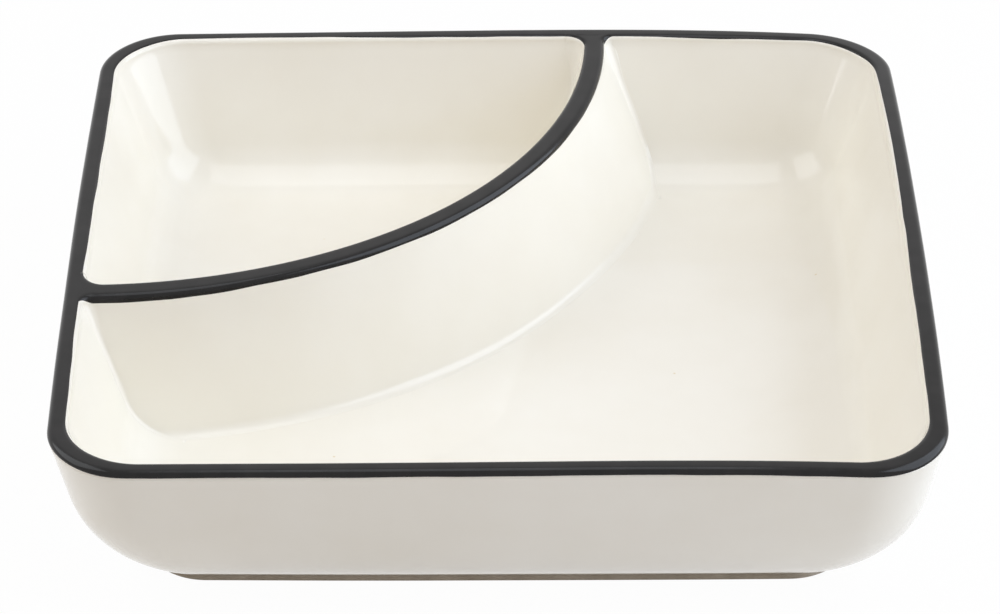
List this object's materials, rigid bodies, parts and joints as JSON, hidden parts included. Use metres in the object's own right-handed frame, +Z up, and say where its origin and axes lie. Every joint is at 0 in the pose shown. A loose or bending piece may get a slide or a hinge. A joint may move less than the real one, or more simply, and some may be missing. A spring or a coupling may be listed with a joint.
{
  "type": "divided serving bowl",
  "caption": "Square stoneware serving bowl with rounded corners, a quarter-round corner compartment, ivory glaze and a black rim.",
  "frame": {"origin": "middle of the foot ring's underside, on the surface the bowl stands on", "axes": "+Z up, +X to the right and +Y to the back, so the small compartment is at -X +Y"},
  "size_m": [0.2792, 0.2792, 0.0627],
  "materials": {
    "ivory_glaze": "glossy ivory glaze",
    "black_glaze": "glossy black glaze",
    "bare_clay": "unglazed fired clay"
  },
  "bodies": {
    "root": {"bowl_shell": "ivory_glaze", "divider_wall": "ivory_glaze", "rim_band": "black_glaze", "divider_band": "black_glaze", "foot_ring": "bare_clay"}
  },
  "joints": []
}
